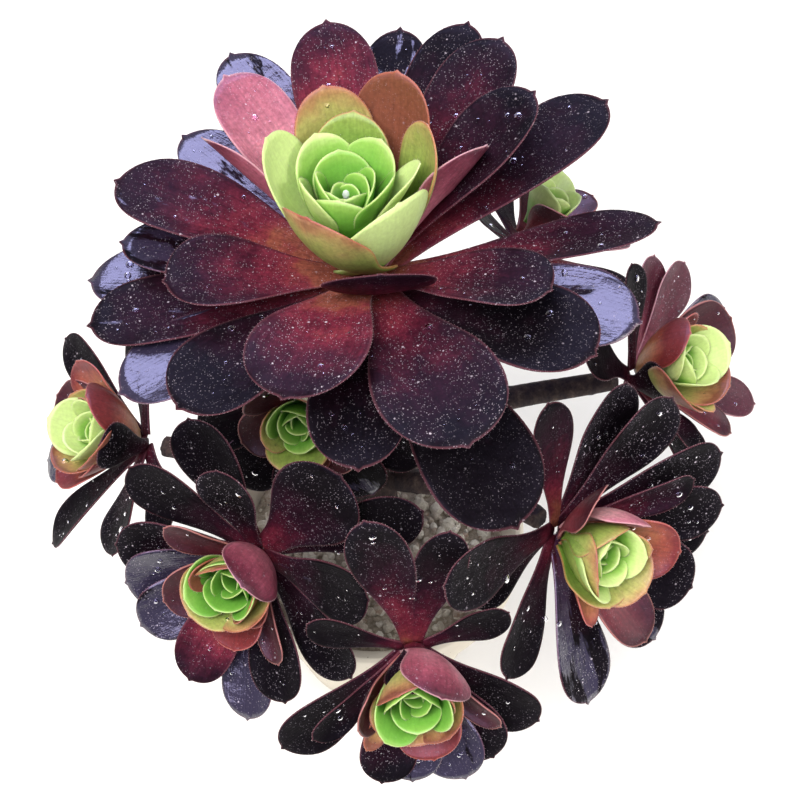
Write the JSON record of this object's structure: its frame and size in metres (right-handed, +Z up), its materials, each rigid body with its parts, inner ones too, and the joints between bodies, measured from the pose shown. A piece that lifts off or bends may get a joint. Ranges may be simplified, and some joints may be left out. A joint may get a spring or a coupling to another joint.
{
  "type": "potted aeonium",
  "caption": "Dark-leaved branching aeonium with spoon-shaped leaves in open rosettes round bright green hearts, rooted in gritty mix in a plain tapered pot.",
  "frame": {"origin": "middle of the pot's underside", "axes": "+Z up, -Y towards the side that the picture was taken from, +X to the right"},
  "size_m": [0.3728, 0.3078, 0.4061],
  "materials": {
    "pot": "matte unglazed stoneware",
    "potting_mix": "pale gritty mineral mix",
    "stem": "grey-brown bark with leaf scars",
    "dark_leaf": "fleshy leaf, near-black purple, wet",
    "red_leaf": "fleshy leaf, pink-red",
    "green_leaf": "fleshy leaf, bright green"
  },
  "bodies": {
    "root": {"pot": "pot", "potting_mix": "potting_mix", "stems": "stem", "main_dark_leaves": "dark_leaf", "main_red_leaves": "red_leaf", "main_heart": "green_leaf", "left_dark_leaves": "dark_leaf", "left_red_leaves": "red_leaf", "left_heart": "green_leaf", "under_dark_leaves": "dark_leaf", "under_red_leaves": "red_leaf", "under_heart": "green_leaf", "front_left_dark_leaves": "dark_leaf", "front_left_red_leaves": "red_leaf", "front_left_heart": "green_leaf", "front_dark_leaves": "dark_leaf", "front_red_leaves": "red_leaf", "front_heart": "green_leaf", "front_right_dark_leaves": "dark_leaf", "front_right_red_leaves": "red_leaf", "front_right_heart": "green_leaf", "right_dark_leaves": "dark_leaf", "right_red_leaves": "red_leaf", "right_heart": "green_leaf", "back_right_dark_leaves": "dark_leaf", "back_right_red_leaves": "red_leaf", "back_right_heart": "green_leaf", "back_left_dark_leaves": "dark_leaf", "back_left_red_leaves": "red_leaf", "back_left_heart": "green_leaf"}
  },
  "joints": []
}
